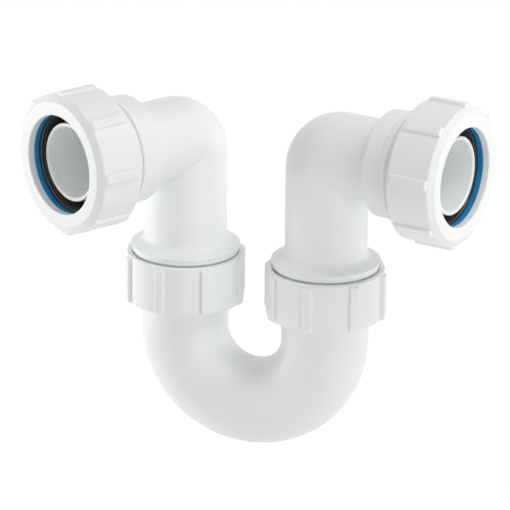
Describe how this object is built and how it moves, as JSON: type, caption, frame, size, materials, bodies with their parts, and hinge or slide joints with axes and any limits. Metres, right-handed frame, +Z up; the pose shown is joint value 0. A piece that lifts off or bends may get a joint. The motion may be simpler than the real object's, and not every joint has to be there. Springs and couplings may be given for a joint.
{
  "type": "running trap",
  "caption": "White plastic running trap: a U-bend joined to swivelling elbows by ridged union nuts, with compression nuts, washers and rubber seals at its inlet and outlet.",
  "frame": {"origin": "on the inlet's axis, where the straight wall of the inlet nut's hole starts behind its rounded front edge", "axes": "+Z up; +X from the inlet leg to the outlet leg, so the U-bend lies in a plane along X and Z"},
  "size_m": [0.1697, 0.0854, 0.145],
  "materials": {
    "white_polypropylene": "moulded, semi-gloss",
    "blue_polyethylene": "moulded, satin",
    "black_rubber": "moulded, matt"
  },
  "bodies": {
    "inlet_elbow": {"inlet_elbow": "white_polypropylene", "inlet_seal": "black_rubber", "inlet_union_seal": "black_rubber"},
    "u_bend": {"u_bend": "white_polypropylene"},
    "outlet_elbow": {"outlet_elbow": "white_polypropylene", "outlet_seal": "black_rubber", "outlet_union_seal": "black_rubber"},
    "inlet_washer": {"inlet_washer": "blue_polyethylene"},
    "inlet_nut": {"inlet_nut": "white_polypropylene"},
    "inlet_union_washer": {"inlet_union_washer": "blue_polyethylene"},
    "inlet_union_nut": {"inlet_union_nut": "white_polypropylene"},
    "outlet_washer": {"outlet_washer": "blue_polyethylene"},
    "outlet_nut": {"outlet_nut": "white_polypropylene"},
    "outlet_union_washer": {"outlet_union_washer": "blue_polyethylene"},
    "outlet_union_nut": {"outlet_union_nut": "white_polypropylene"}
  },
  "joints": [
    {"name": "inlet_swivel", "type": "hinge", "parent": "inlet_elbow", "child": "u_bend", "pos_m": [0.03226, 0.04856, 0], "axis": [0, 0, 1], "range_deg": [-33.6, 146.4]},
    {"name": "outlet_swivel", "type": "hinge", "parent": "u_bend", "child": "outlet_elbow", "pos_m": [0.08696, 0.04856, 0], "axis": [0, 0, 1], "range_deg": [-77.6, 102.4]},
    {"name": "inlet_nut_travel", "type": "slide", "parent": "inlet_elbow", "child": "inlet_washer", "axis": [-0.5534, -0.8329, 0], "range_m": [0, 0.009]},
    {"name": "inlet_nut_turn", "type": "hinge", "parent": "inlet_washer", "child": "inlet_nut", "pos_m": [0.03226, 0.04856, 0], "axis": [-0.5534, -0.8329, 0], "range_deg": [0, 1080]},
    {"name": "inlet_union_nut_travel", "type": "slide", "parent": "inlet_elbow", "child": "inlet_union_washer", "axis": [0, 0, -1], "range_m": [0, 0.009]},
    {"name": "inlet_union_nut_turn", "type": "hinge", "parent": "inlet_union_washer", "child": "inlet_union_nut", "pos_m": [0.03226, 0.04856, 0], "axis": [0, 0, -1], "range_deg": [0, 1080]},
    {"name": "outlet_nut_travel", "type": "slide", "parent": "outlet_elbow", "child": "outlet_washer", "axis": [0.9767, -0.2147, 0], "range_m": [0, 0.009]},
    {"name": "outlet_nut_turn", "type": "hinge", "parent": "outlet_washer", "child": "outlet_nut", "pos_m": [0.08696, 0.04856, 0], "axis": [0.9767, -0.2147, 0], "range_deg": [0, 1080]},
    {"name": "outlet_union_nut_travel", "type": "slide", "parent": "outlet_elbow", "child": "outlet_union_washer", "axis": [0, 0, -1], "range_m": [0, 0.009]},
    {"name": "outlet_union_nut_turn", "type": "hinge", "parent": "outlet_union_washer", "child": "outlet_union_nut", "pos_m": [0.08696, 0.04856, 0], "axis": [0, 0, -1], "range_deg": [0, 1080]}
  ],
  "couplings": [
    {"joint": "inlet_nut_travel", "follows": "inlet_nut_turn", "m_per_rad": 0.00047746},
    {"joint": "inlet_union_nut_travel", "follows": "inlet_union_nut_turn", "m_per_rad": 0.00047746},
    {"joint": "outlet_nut_travel", "follows": "outlet_nut_turn", "m_per_rad": 0.00047746},
    {"joint": "outlet_union_nut_travel", "follows": "outlet_union_nut_turn", "m_per_rad": 0.00047746}
  ]
}
